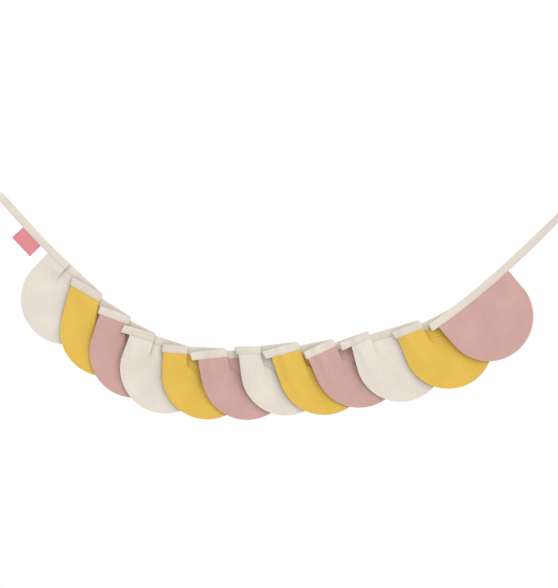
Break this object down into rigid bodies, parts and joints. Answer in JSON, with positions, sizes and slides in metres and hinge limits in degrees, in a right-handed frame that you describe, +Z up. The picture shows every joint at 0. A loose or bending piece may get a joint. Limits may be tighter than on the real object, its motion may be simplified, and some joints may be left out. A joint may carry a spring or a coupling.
{
  "type": "linen garland",
  "caption": "Linen garland of half-round flags in cream, mustard and dusty pink, sewn into a folded binding tape that hangs in a swag.",
  "frame": {"origin": "middle of the binding tape's left end, where the garland is held", "axes": "+X to the right along the garland, +Z up, -Y towards the viewer"},
  "size_m": [1.2797, 0.0405, 0.5168],
  "materials": {
    "tape": "matte natural linen",
    "cream": "matte washed linen",
    "yellow": "matte washed linen",
    "pink": "matte washed linen",
    "label": "matte woven label cloth"
  },
  "bodies": {
    "root": {"tape": "tape", "flag_01_cream": "cream", "flag_02_yellow": "yellow", "flag_03_pink": "pink", "flag_04_cream": "cream", "flag_05_yellow": "yellow", "flag_06_pink": "pink", "flag_07_cream": "cream", "flag_08_yellow": "yellow", "flag_09_pink": "pink", "flag_10_cream": "cream", "flag_11_yellow": "yellow", "flag_12_pink": "pink", "label": "label"}
  },
  "joints": []
}
